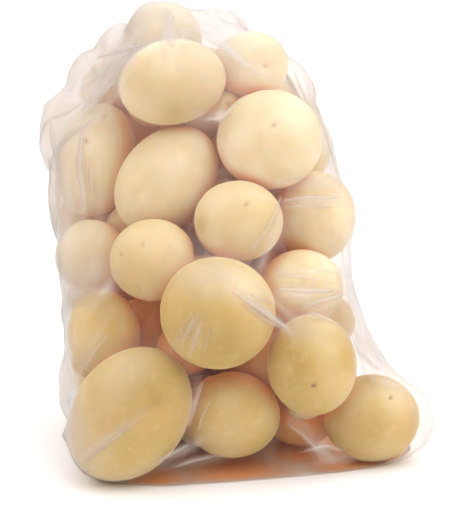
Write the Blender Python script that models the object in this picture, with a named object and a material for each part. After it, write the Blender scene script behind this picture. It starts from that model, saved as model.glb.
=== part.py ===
"""A clear film bag of potatoes that stands on its base, its neck gathered and tied behind the top.

Metres, +Z up, the front towards -Y, the origin on the floor under the middle of the bag.
The bag is one solid out to its film, which is drawn tight over the potatoes, and the wire tie
round its neck is another."""

import math

import bmesh
import bpy
import numpy as np

MM = 0.001
ACROSS = np.array([1.0, 0.0, 0.0])

# ---- The potatoes that show ------------------------------------------------------------------
# They are measured in one view, from a step in front, a little to the left and a little above.
VIEW_TURN = math.radians(12.5)
VIEW_RISE = math.radians(14)
VIEW_DISTANCE = 1000 * MM
VIEW_MIDDLE = np.array([2, -17, 113]) * MM

RIGHT = np.array([math.cos(VIEW_TURN), -math.sin(VIEW_TURN), 0])
INWARD = np.array([
    math.sin(VIEW_TURN) * math.cos(VIEW_RISE),
    math.cos(VIEW_TURN) * math.cos(VIEW_RISE),
    -math.sin(VIEW_RISE),
])
UPWARD = np.cross(RIGHT, INWARD)

# In mm: right of the view's middle, up and in from it, length, width; then the length's slant in degrees.
SHOWN = {
    "belly": (-10, -32, -45, 67, 65, 0),
    "left_foot": (-62, -93, -42, 84, 66, 55),
    "front_right": (44, -63, -39, 59, 53, 90),
    "front_foot": (-2, -92, -25, 57, 50, 0),
    "right_foot": (79, -94, -10, 55, 50, 0),
    "chest": (1, 20, -27, 52, 48, 0),
    "chest_left": (-48, -3, -19, 50, 48, 0),
    "left_low": (-77, -44, -18, 49, 42, 90),
    "left_middle": (-84, 0, 3, 44, 42, 90),
    "right_middle": (38, -18, -18, 49, 44, 0),
    "right_high": (45, 23, 2, 53, 49, 90),
    "shoulder_front": (-40, 44, -3, 70, 52, 50),
    "shoulder_left": (-80, 56, 20, 66, 48, 80),
    "shoulder_right": (20, 67, -14, 63, 59, 0),
    "top_front": (-37, 101, -15, 63, 50, 10),
    "top_right": (9, 111, 1, 44, 39, 0),
    "crown": (-42, 126, 17, 45, 43, 0),
    "low_gap_right": (38, -94, 14, 44, 38, 0),
    "low_gap_left": (-52, -44, 13, 42, 40, 0),
    "top_gap": (-14, 84, 25, 35, 33, 0),
    "top_left": (-78, 101, 34, 42, 38, 35),
    "right_gap": (52, -38, 22, 35, 33, 0),
    "upper_gap": (-55, 78, 42, 35, 32, 0),
    "middle_gap": (-11, 61, 44, 38, 36, 0),
    "left_gap": (-82, 20, 38, 46, 40, 0),
}
THICKNESS = 0.82                # of the smaller of length and width, along the view

# ---- The potatoes behind them ----------------------------------------------------------------
# They fill the room that the bag leaves between these limits at each height.
ROOM_HEIGHTS = np.array([0, 60, 120, 180, 215]) * MM
ROOM_LEFT = np.array([-88, -94, -96, -96, -86]) * MM
ROOM_RIGHT = np.array([74, 78, 76, 68, 46]) * MM
ROOM_FRONT = np.array([-52, -32, -12, -2, 18]) * MM
ROOM_BACK = np.array([55, 63, 67, 69, 67]) * MM
HIGHEST_TRIED = 190 * MM        # for a hidden potato's centre
HIGHEST_SETTLED = 200 * MM
HIDDEN_COUNT = 15
HIDDEN_LENGTHS = (46 * MM, 66 * MM)
HIDDEN_WIDTHS = (0.80, 0.95)    # of the length
HIDDEN_DEPTHS = (0.74, 0.84)
PLACES_TRIED = 300
SEED = 67
SETTLE_ROUNDS = 400
FALL_ROUNDS = 320
FALL = np.array([0, -0.15, -0.3]) * MM
PUSH = 0.6                      # of each overlap, every round

# ---- The film --------------------------------------------------------------------------------
FILM_CLEARANCE = 1.0 * MM       # from the potatoes
FLOOR_CLEARANCE = 0.8 * MM      # under the lowest potatoes
# Where trapped air holds the film off the potatoes, measured as they are.
AIR = {
    "shoulder": (-99, 70, 28, 30, 52, 0),
    "shoulder_right": (33, 99, 8, 34, 22, -55),
    "crest": (-12, 127, 24, 38, 32, 0),
    "crest_left": (-68, 119, 30, 32, 26, 40),
    "flank": (-96, 32, 20, 60, 24, 93),
    "hip": (-91, -75, -12, 52, 22, 90),
    "armpit": (44, 64, 4, 36, 26, -72),
    "toe": (84, -95, -9, 60, 50, 0),
}
BASE_MIDDLE = np.array([3, -15, 0]) * MM
BASE_HALF_WIDTH = 103 * MM
BASE_HALF_DEPTH = 69 * MM
BASE_SQUARENESS = 3.4           # 2 is an ellipse

# The slack film round everything, before it is drawn in.
SLACK_MIDDLE = np.array([2, -8, 120]) * MM
SLACK_HALF = np.array([135, 125, 160]) * MM
SLACK_LOWEST, SLACK_HIGHEST = math.radians(60), math.radians(172)
SLACK_LEAN = math.radians(45)   # of its top, towards the neck

COLUMNS = 64
WALL_RINGS = 58
DRAW_ROUNDS = 1400
HOOP_TENSION = 1.0
RISE_TENSION = 2.0
SUCTION = 0.02 * MM             # how far each round draws the film in besides

NECK = np.array([-26, 69, 219]) * MM
NECK_RISE = math.radians(45)
NECK_FORWARD = np.array([0, math.cos(NECK_RISE), math.sin(NECK_RISE)])
NECK_UPRIGHT = np.array([0, -math.sin(NECK_RISE), math.cos(NECK_RISE)])
NECK_RADIUS = 8 * MM
NECK_LENGTH = 8 * MM
PLEATS = 12
NECK_FLUTE = 0.5 * MM           # depth of the pleats in the neck
PLEAT_DEPTH = 1.6 * MM          # and of the gathers that run to it
PLEAT_REACH = 45 * MM

# The film's loose end, in mm: back and up from the neck, half its width, half its thickness, ripple.
TAIL = [
    (7.5, 7.0, 10, 6.2, 0.6),
    (13, 9.5, 14, 4.8, 1.4),
    (18.5, 8.0, 20, 4.0, 2.4),
    (22.5, 1.5, 27, 3.6, 3.2),
    (23.5, -9, 33, 3.2, 3.8),
    (22.5, -21, 38, 3.0, 4.4),
    (20.5, -34, 41, 2.8, 4.8),
    (19, -47, 43, 2.5, 4.8),
    (18.5, -60, 44, 2.2, 5.2),
]
TAIL_WAVES = 3.5

# ---- The tie ---------------------------------------------------------------------------------
TIE_GAP = 0.4 * MM              # to the neck
TIE_HALF_THICKNESS = 1.1 * MM
TIE_HALF_WIDTH = 2.0 * MM
TIE_END_LENGTH = 15 * MM
TIE_END_TURNS = 1.5
TIE_END_TAPER = 0.35
TIE_END_STEPS = 28
TIE_SIDES = 12


def seen(right, up, inward, length, width, slant):
    """Centre, half sizes and turn of what is measured in the view."""
    nearness = 1 + inward * MM / VIEW_DISTANCE
    centre = VIEW_MIDDLE + (right * RIGHT + up * UPWARD) * MM * nearness + inward * MM * INWARD
    half = np.array([length, width, min(length, width) * THICKNESS]) * MM * nearness / 2
    cos = math.cos(math.radians(slant))
    sin = math.sin(math.radians(slant))
    turn = np.column_stack([RIGHT * cos + UPWARD * sin, UPWARD * cos - RIGHT * sin, INWARD])
    return centre, half, turn


def stacked(rows):
    """The rows' centres, half sizes and turns as three arrays."""
    return [np.array(column) for column in zip(*rows)]


def random_turn(rng):
    """A turn with no favoured direction, from a random quaternion."""
    quaternion = rng.normal(size=4)
    w, x, y, z = quaternion / np.linalg.norm(quaternion)
    return np.array([
        [1 - 2 * (y * y + z * z), 2 * (x * y - z * w), 2 * (x * z + y * w)],
        [2 * (x * y + z * w), 1 - 2 * (x * x + z * z), 2 * (y * z - x * w)],
        [2 * (x * z - y * w), 2 * (y * z + x * w), 1 - 2 * (x * x + y * y)],
    ])


def room_at(height):
    """The left, right, front and back limits of the room at a height."""
    return [np.interp(height, ROOM_HEIGHTS, wall) for wall in (ROOM_LEFT, ROOM_RIGHT, ROOM_FRONT, ROOM_BACK)]


def with_hidden(rows, rng):
    """Adds the hidden potatoes, largest first, each at the roomiest of the places tried for it."""
    rows = list(rows)
    for length in np.sort(rng.uniform(*HIDDEN_LENGTHS, HIDDEN_COUNT))[::-1]:
        half = length / 2 * np.array([1, rng.uniform(*HIDDEN_WIDTHS), rng.uniform(*HIDDEN_DEPTHS)])
        radius = half.mean()
        centres, halves, _ = stacked(rows)
        best_place, best_room = None, -math.inf
        for _ in range(PLACES_TRIED):
            height = rng.uniform(radius, HIGHEST_TRIED)
            left, right, front, back = room_at(height)
            across = rng.uniform(left + radius, right - radius)
            place = np.array([across, rng.uniform(front, back - radius), height])
            room = (np.linalg.norm(centres - place, axis=1) - halves.mean(axis=1)).min()
            if room > best_room:
                best_place, best_room = place, room
        rows.append((best_place, half, random_turn(rng)))
    return rows


def reach(halves, turns, ways):
    """How far each ellipsoid counts along a way: the mean of its radius there and its widest plane."""
    local = np.einsum("pij,pi->pj", turns, ways)
    radius = 1 / np.linalg.norm(local / halves, axis=1)
    widest = np.linalg.norm(local * halves, axis=1)
    return (radius + widest) / 2


def settled(rows, shown_count):
    """Pushes overlapping potatoes apart and off the floor. The ones that show slide along the view."""
    centres, halves, turns = stacked(rows)
    shown = np.arange(len(centres)) < shown_count
    hidden = ~shown
    radius = halves.mean(axis=1)
    lowest = np.linalg.norm(turns[:, 2, :] * halves, axis=1) + FLOOR_CLEARANCE
    first, second = np.triu_indices(len(centres), 1)
    first_share = np.where(shown[first] == shown[second], 0.5, hidden[first])
    for number in range(SETTLE_ROUNDS):
        apart = centres[second] - centres[first]
        distance = np.linalg.norm(apart, axis=1)
        ways = apart / distance[:, None]
        needed = reach(halves[first], turns[first], ways) + reach(halves[second], turns[second], ways)
        overlap = PUSH * np.maximum(needed - distance, 0)
        move = np.zeros_like(centres)
        np.add.at(move, first, -ways * (overlap * first_share)[:, None])
        np.add.at(move, second, ways * (overlap * (1 - first_share))[:, None])
        move[shown] = (move[shown] @ INWARD)[:, None] * INWARD
        if number < FALL_ROUNDS:
            move[hidden] += FALL
        centres = centres + move
        left, right, front, back = room_at(centres[:, 2])
        kept = np.column_stack([
            np.clip(centres[:, 0], left + radius, right - radius),
            np.clip(centres[:, 1], front, back - radius),
            np.minimum(centres[:, 2], HIGHEST_SETTLED),
        ])
        centres[hidden] = kept[hidden]
        centres[:, 2] = np.maximum(centres[:, 2], lowest)
    return list(zip(centres, halves, turns))


def base_outline(angles):
    """The flat base's edge, a squared ellipse."""
    cos, sin = np.cos(angles), np.sin(angles)
    power = 2 / BASE_SQUARENESS
    edge = np.column_stack([
        BASE_HALF_WIDTH * np.sign(cos) * np.abs(cos) ** power,
        BASE_HALF_DEPTH * np.sign(sin) * np.abs(sin) ** power,
        np.zeros_like(angles),
    ])
    return BASE_MIDDLE + edge


def neck_outline(angles, along):
    """The gathered neck at a distance along it: a small fluted ring that faces back and up."""
    radius = (NECK_RADIUS + NECK_FLUTE * np.cos(PLEATS * angles))[:, None]
    ring = np.cos(angles)[:, None] * ACROSS - np.sin(angles)[:, None] * NECK_UPRIGHT
    return NECK + along * NECK_FORWARD + radius * ring


def tail_outlines(angles):
    """Thin rippled sections beyond the tie, along a way that falls down behind the bag."""
    way = np.array([(0, back, up) for back, up, *_ in TAIL]) * MM
    forward = np.gradient(np.vstack([np.zeros(3), way]), axis=0)[1:]
    forward /= np.linalg.norm(forward, axis=1)[:, None]
    outlines = []
    for place, (_, forward_y, forward_z), row in zip(way, forward, TAIL):
        half_width, half_thickness, ripple = (size * MM for size in row[2:])
        wave = ripple * np.sin(TAIL_WAVES * math.pi * np.cos(angles))
        lift = (wave - half_thickness * np.sin(angles))[:, None]
        upright = np.array([0, -forward_z, forward_y])
        outlines.append(NECK + place + half_width * np.cos(angles)[:, None] * ACROSS + lift * upright)
    return outlines


def slack_wall(angles):
    """A roomy film, ring by ring from the base's edge up and over to the neck."""
    rings = []
    for share in np.linspace(0, 1, WALL_RINGS + 1):
        polar = SLACK_LOWEST + (SLACK_HIGHEST - SLACK_LOWEST) * share
        lean = SLACK_LEAN * share
        x = math.sin(polar) * np.cos(angles)
        y = math.sin(polar) * np.sin(angles)
        z = np.full_like(angles, -math.cos(polar))
        leaning = [x, y * math.cos(lean) + z * math.sin(lean), z * math.cos(lean) - y * math.sin(lean)]
        rings.append(SLACK_MIDDLE + SLACK_HALF * np.column_stack(leaning))
    rings[0] = base_outline(angles)
    rings[-1] = neck_outline(angles, -NECK_LENGTH / 2)
    return np.array(rings)


def drawn_in(wall, bodies):
    """Draws the film tight: each point moves to its neighbours' mean, then out of what it has entered."""
    centres, halves, turns = bodies
    for _ in range(DRAW_ROUNDS):
        before = np.roll(wall, 1, axis=1)[1:-1]
        after = np.roll(wall, -1, axis=1)[1:-1]
        pull = HOOP_TENSION * (before + after) + RISE_TENSION * (wall[:-2] + wall[2:])
        inward = np.cross(wall[2:] - wall[:-2], after - before)
        inward /= np.linalg.norm(inward, axis=2)[..., None]
        points = (pull / (2 * (HOOP_TENSION + RISE_TENSION)) + SUCTION * inward).reshape(-1, 3)
        for centre, half, turn in zip(centres, halves + FILM_CLEARANCE, turns):
            near = np.flatnonzero(np.abs(points - centre).max(axis=1) < half.max())
            local = (points[near] - centre) @ turn / half
            depth = np.linalg.norm(local, axis=1)
            inside = depth < 1
            surface = local[inside] / depth[inside, None] * half
            points[near[inside]] = centre + surface @ turn.T
        points[:, 2] = np.maximum(points[:, 2], 0)
        wall[1:-1] = points.reshape(wall[1:-1].shape)
    return wall


def pleated(wall, angles):
    """Presses into the film the gathers that run to the neck and fade out away from it."""
    along = np.gradient(wall, axis=0)
    around = np.roll(wall, -1, axis=1) - np.roll(wall, 1, axis=1)
    outward = np.cross(around, along)
    outward /= np.linalg.norm(outward, axis=2)[..., None]
    distance = np.linalg.norm(wall - NECK, axis=2) - NECK_RADIUS
    strength = PLEAT_DEPTH * np.sin(np.clip(distance / PLEAT_REACH, 0, 1) * math.pi)
    press = strength * np.cos(PLEATS * angles)
    press[[0, -1]] = 0
    return wall + outward * press[..., None]


def material(name, colour, roughness):
    made = bpy.data.materials.new(name)
    made.use_nodes = True
    shader = made.node_tree.nodes["Principled BSDF"]
    shader.inputs["Base Color"].default_value = (*colour, 1)
    shader.inputs["Roughness"].default_value = roughness
    return made


def add_loft(name, outlines, collection):
    """An object whose skin joins like outlines. Its first end is flat and its last closes left to right."""
    shape = bmesh.new()
    rings = [[shape.verts.new(point) for point in outline] for outline in outlines]
    count = len(rings[0])
    for lower, upper in zip(rings, rings[1:]):
        for column in range(count):
            after = (column + 1) % count
            shape.faces.new((lower[column], lower[after], upper[after], upper[column]))
    shape.faces.new(reversed(rings[0]))
    end = rings[-1]
    for column in range(count // 2):
        corners = (end[column], end[column + 1], end[-column - 1], end[-column])
        shape.faces.new(dict.fromkeys(corners))
    mesh = bpy.data.meshes.new(name)
    shape.to_mesh(mesh)
    shape.free()
    mesh.shade_smooth()
    made = bpy.data.objects.new(name, mesh)
    collection.objects.link(made)
    return made


def add_bag(collection):
    """The film from the flat base over the potatoes, through the neck, to the end of its tail."""
    angles = np.arange(COLUMNS) * 2 * math.pi / COLUMNS
    rows = [seen(*row) for row in SHOWN.values()]
    rows = settled(with_hidden(rows, np.random.default_rng(SEED)), len(rows))
    rows += [seen(*row) for row in AIR.values()]
    wall = pleated(drawn_in(slack_wall(angles), stacked(rows)), angles)
    outlines = [*wall, neck_outline(angles, NECK_LENGTH / 2), *tail_outlines(angles)]
    bag = add_loft("bag", outlines, collection)
    bag.data.materials.append(material("film over potatoes", (0.86, 0.70, 0.43), 0.3))


def tie_end_outlines():
    """Flat sections that turn as they leave the ring: the tie's two ends twisted together."""
    angles = np.arange(TIE_SIDES) * 2 * math.pi / TIE_SIDES
    outlines = []
    for share in np.linspace(0, 1, TIE_END_STEPS + 1):
        size = 1 - TIE_END_TAPER * share ** 6
        wide = TIE_HALF_WIDTH * size * np.cos(angles)
        thick = TIE_HALF_THICKNESS * size * np.sin(angles)
        twist = TIE_END_TURNS * 2 * math.pi * share
        y = thick * math.cos(twist) - wide * math.sin(twist)
        z = thick * math.sin(twist) + wide * math.cos(twist)
        x = np.full_like(angles, tie_radius() + TIE_END_LENGTH * share)
        outlines.append(np.column_stack([x, y, z]))
    return outlines


def tie_radius():
    """From the neck's axis to the middle of the wire."""
    return NECK_RADIUS + NECK_FLUTE + TIE_GAP + TIE_HALF_THICKNESS


def add_tie(collection):
    """A flat wire tie: a ring round the neck, joined to its twisted ends."""
    bpy.ops.mesh.primitive_torus_add(
        major_radius=tie_radius(),
        minor_radius=TIE_HALF_THICKNESS,
        major_segments=48,
        minor_segments=TIE_SIDES,
    )
    tie = bpy.context.object
    tie.name = "tie"
    for vertex in tie.data.vertices:
        vertex.co.z *= TIE_HALF_WIDTH / TIE_HALF_THICKNESS
    tie.data.materials.append(material("tie", (0.9, 0.9, 0.88), 0.5))
    for holder in list(tie.users_collection):
        holder.objects.unlink(tie)
    collection.objects.link(tie)

    ends = add_loft("tie ends", tie_end_outlines(), collection)
    join = tie.modifiers.new("Twisted ends", "BOOLEAN")
    join.operation = "UNION"
    join.object = ends
    evaluated = tie.evaluated_get(bpy.context.evaluated_depsgraph_get())
    tie.data = bpy.data.meshes.new_from_object(evaluated)
    tie.modifiers.clear()
    bpy.data.objects.remove(ends)
    tie.location = NECK
    tie.rotation_euler.x = NECK_RISE - math.pi / 2


def main():
    for leftover in list(bpy.data.objects):
        bpy.data.objects.remove(leftover)
    collection = bpy.data.collections.new("bag of potatoes")
    bpy.context.scene.collection.children.link(collection)
    add_bag(collection)
    add_tie(collection)


main()
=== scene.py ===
"""The looks of a clear film bag of potatoes that stands on its base, tied behind the top."""

import math

import bmesh
import bpy
import numpy as np
from mathutils import Matrix, Vector, noise
from mathutils.bvhtree import BVHTree


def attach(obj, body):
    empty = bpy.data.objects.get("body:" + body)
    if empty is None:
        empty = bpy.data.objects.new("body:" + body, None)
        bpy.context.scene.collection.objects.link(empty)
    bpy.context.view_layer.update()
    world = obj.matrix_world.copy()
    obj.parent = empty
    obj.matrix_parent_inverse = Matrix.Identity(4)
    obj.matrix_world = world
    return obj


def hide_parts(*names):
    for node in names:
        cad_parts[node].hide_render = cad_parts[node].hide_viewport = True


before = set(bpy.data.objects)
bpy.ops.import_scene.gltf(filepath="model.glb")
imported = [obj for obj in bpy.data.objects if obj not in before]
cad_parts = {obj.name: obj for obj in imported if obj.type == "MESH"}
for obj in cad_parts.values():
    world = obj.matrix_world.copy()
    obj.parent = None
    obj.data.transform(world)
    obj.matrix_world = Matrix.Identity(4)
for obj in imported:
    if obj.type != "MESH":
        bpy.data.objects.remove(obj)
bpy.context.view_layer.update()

# ---- The camera ------------------------------------------------------------------------------
# It stands a long step in front of the bag, a little to its left and above it, and looks down on
# its middle through a long lens. The potatoes below are measured across this same view.
MM = 0.001
VIEW_TURN = math.radians(12.5)
VIEW_RISE = math.radians(14)
VIEW_DISTANCE = 1000 * MM
VIEW_MIDDLE = np.array([2, -17, 113]) * MM
LENS = 121.2  # mm, on Blender's usual 36 mm sensor
NEAREST_SEEN = 50 * MM

RIGHT = np.array([math.cos(VIEW_TURN), -math.sin(VIEW_TURN), 0])
INWARD = np.array([
    math.sin(VIEW_TURN) * math.cos(VIEW_RISE),
    math.cos(VIEW_TURN) * math.cos(VIEW_RISE),
    -math.sin(VIEW_RISE),
])
UPWARD = np.cross(RIGHT, INWARD)
EYE = VIEW_MIDDLE - VIEW_DISTANCE * INWARD


def view_way(right, up):
    """The way from the camera to a point given in mm right of and up from the view's middle."""
    return INWARD + (right * RIGHT + up * UPWARD) * MM / VIEW_DISTANCE


def add_object(name, data):
    """A new object in the scene."""
    made = bpy.data.objects.new(name, data)
    bpy.context.scene.collection.objects.link(made)
    return made


camera = add_object("camera", bpy.data.cameras.new("camera"))
camera.data.lens = LENS
camera.data.clip_start = NEAREST_SEEN
camera.matrix_world = Matrix.Translation(EYE) @ Matrix(np.column_stack([RIGHT, UPWARD, -INWARD])).to_4x4()
bpy.context.scene.camera = camera

# ---- The potatoes ----------------------------------------------------------------------------
# Small washed table potatoes with thin, smooth, cream-yellow skins, loose in the bag. Each one is
# a solid lump of its own: a ball pulled to its length, width and depth, with swells and eyes.

# In mm: right of the view's middle, up and in from it, length, width. Then the length's slant in degrees,
# and how ripe the skin is, from 0, the palest, up: partly its own tone, partly painted shade, deeper lower
# down and inside.
SHOWN = {
    "belly": (-10, -32, -45, 67, 65, 0, 1.2),
    "left_foot": (-62, -93, -42, 84, 66, 55, 0.95),
    "front_right": (44, -63, -39, 59, 53, 90, 1.1),
    "front_foot": (-2, -92, -25, 57, 50, 0, 1.1),
    "right_foot": (79, -94, -10, 55, 50, 0, 1.0),
    "chest": (1, 20, -27, 52, 48, 0, 0.35),
    "chest_left": (-48, -3, -19, 50, 48, 0, 0.55),
    "left_low": (-77, -44, -18, 49, 42, 90, 0.75),
    "left_middle": (-84, 0, 3, 44, 42, 90, 0.2),
    "right_middle": (38, -18, -18, 49, 44, 0, 0.15),
    "right_high": (45, 23, 2, 53, 49, 90, 0.1),
    "shoulder_front": (-40, 44, -3, 70, 52, 50, 0.15),
    "shoulder_left": (-80, 56, 20, 66, 48, 80, 0.15),
    "shoulder_right": (20, 67, -14, 63, 59, 0, 0.05),
    "top_front": (-37, 101, -15, 63, 50, 10, 0.3),
    "top_right": (9, 111, 1, 44, 39, 0, 0.0),
    "crown": (-42, 126, 17, 45, 43, 0, 0.1),
    "low_gap_right": (38, -94, 14, 44, 38, 0, 0.5),
    "low_gap_left": (-52, -44, 13, 42, 40, 0, 0.6),
    "top_gap": (-14, 84, 25, 35, 33, 0, 0.7),
    "top_left": (-78, 101, 34, 42, 38, 35, 0.1),
    "right_gap": (52, -38, 22, 35, 33, 0, 0.5),
    "upper_gap": (-55, 78, 42, 35, 32, 0, 0.8),
    "middle_gap": (-11, 61, 44, 38, 36, 0, 0.8),
    "left_gap": (-82, 20, 38, 46, 40, 0, 0.6),
}
THICKNESS = 0.82  # of the smaller of length and width, along the view

# Small ones that have slipped into the room left deep inside: each one's middle and radius in mm.
TUCKED_IN = [
    (-22, 44, 181, 9.5), (14, 60, 142, 11.5), (-2, 55, 112, 16.5), (19, 43, 196, 9.3), (-2, -8, 44, 7.3),
    (-31, 47, 145, 19.5), (60, 43, 28, 15), (41, 51, 189, 14.5), (-16, 53, 204, 13.5), (59, -13, 39, 13),
    (-35, 50, 63, 13), (38, 48, 49, 13), (36, 55, 157, 13), (-40, 30, 197, 14.5), (-79, 3, 50, 13.5),
    (-1, 6, 197, 10), (35, -57, 35, 11.5), (29, 24, 200, 11.5), (-55, 18, 128, 12.5), (68, 15, 35, 12),
    (5, 12, 167, 13.5), (-31, -34, 64, 15.5), (-1, 33, 218, 10.5), (17, 27, 143, 12), (-37, 24, 68, 12),
]
TUCKED_IN_SEED = 8
TUCKED_IN_HALF = np.array([1.12, 1.0, 0.9])  # of the radius

# Ones that the film stands off from: the share of its size that each really has, and its shift in mm.
SMALLER = {"top_left": (0.84, 5, -2, -3)}

# The potatoes behind them fill the room that the bag leaves between these limits at each height.
ROOM_HEIGHTS = np.array([0, 60, 120, 180, 215]) * MM
ROOM_LEFT = np.array([-88, -94, -96, -96, -86]) * MM
ROOM_RIGHT = np.array([74, 78, 76, 68, 46]) * MM
ROOM_FRONT = np.array([-52, -32, -12, -2, 18]) * MM
ROOM_BACK = np.array([55, 63, 67, 69, 67]) * MM
HIGHEST_TRIED = 190 * MM  # for a hidden potato's centre
HIGHEST_SETTLED = 200 * MM
HIDDEN_COUNT = 15
HIDDEN_LENGTHS = (46 * MM, 66 * MM)
HIDDEN_WIDTHS = (0.80, 0.95)  # of the length
HIDDEN_DEPTHS = (0.74, 0.84)
PLACES_TRIED = 300
HIDDEN_SEED = 67
SETTLE_ROUNDS = 400
FALL_ROUNDS = 320
FALL = np.array([0, -0.15, -0.3]) * MM
PUSH = 0.6  # of each overlap, every round
FLOOR_CLEARANCE = 0.8 * MM  # under the lowest potatoes

POTATO_CUTS = 35  # along each edge of the cube that a potato's ball starts as
TUCKED_IN_CUTS = 15
LUMPS = 7
LUMP_HEIGHTS = (-0.035, 0.035)  # of the radius
LUMP_BREADTHS = (1.0, 3.2)  # higher is narrower
FLATTEST, FULLEST = 0.96, 1.025 # of the plain ellipsoid's radius
CREVICE_REACH = 90 * MM  # between the middles of potatoes that can shade each other
CREVICE_WRAP = 0.3  # over 0, potatoes beside a skin shade it too
OPEN_SHARE, CREVICE_SHARE = 0.6, 1.25  # how enclosed a skin is where its painted crevice shade starts, and where it is full
EYE_DEPTH = 0.9 * MM
EYE_RADIUS = 2.3 * MM
DENT_RADIUS = 1.4 * EYE_RADIUS
EYE_WAY = np.array([0.3, 0.2, 0.93])  # each eye is longer towards it
EYE_NARROWING = 1.2
EYES_EACH = (4, 8)
EYE_STRENGTHS = (0.4, 0.9)
FRONT_LIMIT = -0.1  # a shown potato's random eyes lie behind this, along the view
POTATO_SEED = 5

PALE = (0.80, 0.735, 0.53, 1)
# The yellow and ripest skins are riper tones, and also painted shade lower down and inside.
YELLOW = (0.55, 0.42, 0.155, 1)
RIPEST_AND_SHADED = (0.42, 0.30, 0.075, 1)
BLOTCH = (0.64, 0.475, 0.20, 1)
MOTTLE = (0.78, 0.63, 0.42, 1)
# the ruddy tint of the painted shade in the crevices
CREVICE_SHADE_TINT = (0.84, 0.37, 0.12, 1)
PORE = (0.50, 0.30, 0.12, 1)
EYE_RIM = (0.50, 0.33, 0.14, 1)
EYE_PIT = (0.24, 0.14, 0.06, 1)

# Hidden ones are riper in tone, partly as painted shade deep inside.
HIDDEN_TONE_AND_SHADE = (0.3, 0.9)

# Skins get a painted ruddy shade in the crevices. These get more of it all over, or less where below 0.
CREVICE_SHADE_SHIFTS = {
    "low_gap_right": 0.6, "low_gap_left": 0.3, "right_gap": -0.3, "shoulder_front": -0.45, "right_high": -0.3,
    "front_right": -0.2, "shoulder_left": -0.2, "chest": -0.15, "top_front": -0.2, "right_middle": -0.1,
    "tucked_in_22": 0.5,
}

# The eyes that show in front, in mm right of and up from the view's middle, and how strong each is.
SHOWN_EYES = [
    (45, -76, 1.3), (90, -82, 0.9), (6, 30, 0.75), (-54, 7, 0.6), (-67, 1, 0.7), (-56, -20, 0.5),
    (-87, 67, 0.8), (-76, 82, 0.7), (22, 76, 0.75), (17, 110, 0.65), (-70, -81, 0.4),
]

# Spots of the fronts that are riper than the rest, or paler where below 0: partly riper patches of skin,
# partly painted shade and painted light. In mm right of and up from the view's middle, then the radius in mm
# and how much.
RIPE_AND_SHADED_SPOTS = [
    (-6, -46, 19, 0.55), (8, -20, 16, -0.7), (-32, -20, 13, -0.5), (-51, -81, 10, 0.7), (-76, -98, 20, 0.2),
    (-46, -104, 14, 0.3), (35, -64, 9, 0.3), (54, -56, 13, -0.6), (88, -77, 11, -0.6), (95, -92, 12, -0.2),
    (-9, -57, 10, 0.4), (-38, 82, 12, 0.6), (-52, 98, 13, 0.5), (-21, 18, 7, 0.9), (57, 9, 9, 0.4),
    (20, 62, 14, 0.25), (-79, -40, 12, 0.25), (-31, -65, 9, 0.8), (12, -60, 9, 0.6),
]


def seen(right, up, inward, length, width, slant):
    """Centre, half sizes and turn of what is measured in the view."""
    nearness = 1 + inward * MM / VIEW_DISTANCE
    centre = VIEW_MIDDLE + (right * RIGHT + up * UPWARD) * MM * nearness + inward * MM * INWARD
    half = np.array([length, width, min(length, width) * THICKNESS]) * MM * nearness / 2
    cos, sin = math.cos(math.radians(slant)), math.sin(math.radians(slant))
    turn = np.column_stack([RIGHT * cos + UPWARD * sin, UPWARD * cos - RIGHT * sin, INWARD])
    return centre, half, turn


def stacked(rows):
    """The rows' centres, half sizes and turns as three arrays."""
    return [np.array(column) for column in zip(*rows)]


def random_turn(rng):
    """A turn with no favoured direction, from a random quaternion."""
    quaternion = rng.normal(size=4)
    w, x, y, z = quaternion / np.linalg.norm(quaternion)
    return np.array([
        [1 - 2 * (y * y + z * z), 2 * (x * y - z * w), 2 * (x * z + y * w)],
        [2 * (x * y + z * w), 1 - 2 * (x * x + z * z), 2 * (y * z - x * w)],
        [2 * (x * z - y * w), 2 * (y * z + x * w), 1 - 2 * (x * x + y * y)],
    ])


def room_at(height):
    """The left, right, front and back limits of the room at a height."""
    return [np.interp(height, ROOM_HEIGHTS, wall) for wall in (ROOM_LEFT, ROOM_RIGHT, ROOM_FRONT, ROOM_BACK)]


def with_hidden(rows, rng):
    """Adds the hidden potatoes, largest first, each at the roomiest of the places tried for it."""
    rows = list(rows)
    for length in np.sort(rng.uniform(*HIDDEN_LENGTHS, HIDDEN_COUNT))[::-1]:
        half = length / 2 * np.array([1, rng.uniform(*HIDDEN_WIDTHS), rng.uniform(*HIDDEN_DEPTHS)])
        radius = half.mean()
        centres, halves, _ = stacked(rows)
        best_place, best_room = None, -math.inf
        for _ in range(PLACES_TRIED):
            height = rng.uniform(radius, HIGHEST_TRIED)
            left, right, front, back = room_at(height)
            across = rng.uniform(left + radius, right - radius)
            place = np.array([across, rng.uniform(front, back - radius), height])
            room = (np.linalg.norm(centres - place, axis=1) - halves.mean(axis=1)).min()
            if room > best_room:
                best_place, best_room = place, room
        rows.append((best_place, half, random_turn(rng)))
    return rows


def reach(halves, turns, ways):
    """How far each ellipsoid counts along a way: halfway from its radius there to its widest."""
    local = np.einsum("pij,pi->pj", turns, ways)
    radius = 1 / np.linalg.norm(local / halves, axis=1)
    widest = np.linalg.norm(local * halves, axis=1)
    return (radius + widest) / 2


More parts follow.
